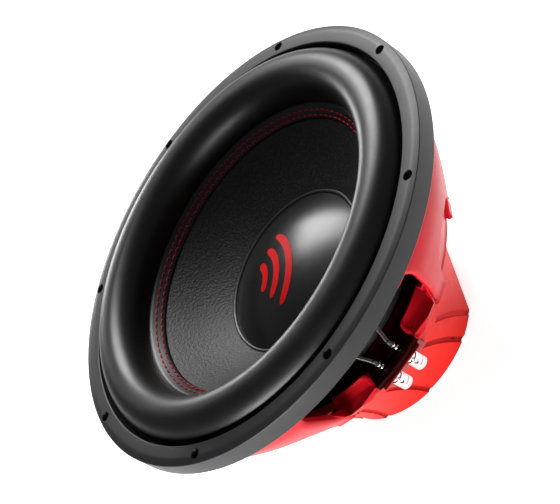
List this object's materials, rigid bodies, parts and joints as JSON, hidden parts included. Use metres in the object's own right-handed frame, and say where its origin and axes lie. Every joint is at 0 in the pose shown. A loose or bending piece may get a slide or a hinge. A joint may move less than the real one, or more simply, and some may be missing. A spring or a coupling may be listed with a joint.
{
  "type": "car subwoofer speaker",
  "caption": "Round car subwoofer driver with a tall rubber surround, stitched black cone, red cast basket, push terminals and a ridged rubber magnet boot.",
  "frame": {"origin": "middle of the footprint, on the flat rear face of the magnet boot", "axes": "+Z along the speaker axis, from the magnet to the listener; -Y through the middle of the basket window that holds the first terminal pair"},
  "size_m": [0.3848, 0.3848, 0.1978],
  "materials": {
    "gasket_rubber": "fine-grained matte moulded rubber",
    "surround_rubber": "satin moulded rubber",
    "cone_paper": "pressed paper pulp, grained, matte",
    "cap_satin": "smooth satin",
    "adhesive": "satin bead",
    "former_aluminium": "satin",
    "copper_wire": "enamelled copper wire",
    "spider_cloth": "black resin-treated woven cloth",
    "spacer_plastic": "matte",
    "basket_red": "gloss red paint on cast aluminium",
    "motor_steel": "zinc-plated turned steel",
    "ferrite": "matte grey ferrite",
    "screw_black": "black zinc",
    "boot_rubber": "matte moulded rubber",
    "terminal_plastic": "satin moulded plastic",
    "terminal_nickel": "bright nickel plating",
    "spring_steel": "bright spring wire",
    "tinsel_braid": "silvery woven tinsel braid"
  },
  "bodies": {
    "frame": {"gasket_ring": "gasket_rubber", "surround": "surround_rubber", "spider_lower": "spider_cloth", "spider_upper": "spider_cloth", "spider_spacer": "spacer_plastic", "basket": "basket_red", "top_plate": "motor_steel", "magnet_front": "ferrite", "magnet_rear": "ferrite", "yoke": "motor_steel", "shorting_ring": "former_aluminium", "vent_screen": "screw_black", "magnet_boot": "boot_rubber", "motor_screw_1": "screw_black", "motor_screw_2": "screw_black", "motor_screw_3": "screw_black", "motor_screw_4": "screw_black", "terminal_block_1": "terminal_plastic", "terminal_block_2": "terminal_plastic", "terminal_post_1": "terminal_nickel", "terminal_spring_1": "spring_steel", "lead_tab_1": "terminal_nickel", "tinsel_lead_1": "tinsel_braid", "terminal_post_2": "terminal_nickel", "terminal_spring_2": "spring_steel", "lead_tab_2": "terminal_nickel", "tinsel_lead_2": "tinsel_braid", "terminal_post_3": "terminal_nickel", "terminal_spring_3": "spring_steel", "lead_tab_3": "terminal_nickel", "tinsel_lead_3": "tinsel_braid", "terminal_post_4": "terminal_nickel", "terminal_spring_4": "spring_steel", "lead_tab_4": "terminal_nickel", "tinsel_lead_4": "tinsel_braid"},
    "moving_assembly": {"cone": "cone_paper", "dust_cap": "cap_satin", "cap_bead": "adhesive", "coil_former": "former_aluminium", "coil_winding_inner": "copper_wire", "coil_winding_outer": "copper_wire"},
    "button_1": {"terminal_button_1": "terminal_nickel"},
    "button_2": {"terminal_button_2": "terminal_nickel"},
    "button_3": {"terminal_button_3": "terminal_nickel"},
    "button_4": {"terminal_button_4": "terminal_nickel"}
  },
  "joints": [
    {"name": "cone_travel", "type": "slide", "parent": "frame", "child": "moving_assembly", "axis": [0, 0, 1], "range_m": [-0.018, 0.018], "stiffness_N_per_m": 9000, "deforming": ["surround", "spider_lower", "spider_upper", "tinsel_lead_1", "tinsel_lead_2", "tinsel_lead_3", "tinsel_lead_4"]},
    {"name": "button_1_press", "type": "slide", "parent": "frame", "child": "button_1", "axis": [0, 0, 1], "range_m": [0, 0.003], "stiffness_N_per_m": 900, "springref_m": -0.002, "deforming": ["terminal_spring_1"]},
    {"name": "button_2_press", "type": "slide", "parent": "frame", "child": "button_2", "axis": [0, 0, 1], "range_m": [0, 0.003], "stiffness_N_per_m": 900, "springref_m": -0.002, "deforming": ["terminal_spring_2"]},
    {"name": "button_3_press", "type": "slide", "parent": "frame", "child": "button_3", "axis": [0, 0, 1], "range_m": [0, 0.003], "stiffness_N_per_m": 900, "springref_m": -0.002, "deforming": ["terminal_spring_3"]},
    {"name": "button_4_press", "type": "slide", "parent": "frame", "child": "button_4", "axis": [0, 0, 1], "range_m": [0, 0.003], "stiffness_N_per_m": 900, "springref_m": -0.002, "deforming": ["terminal_spring_4"]}
  ]
}
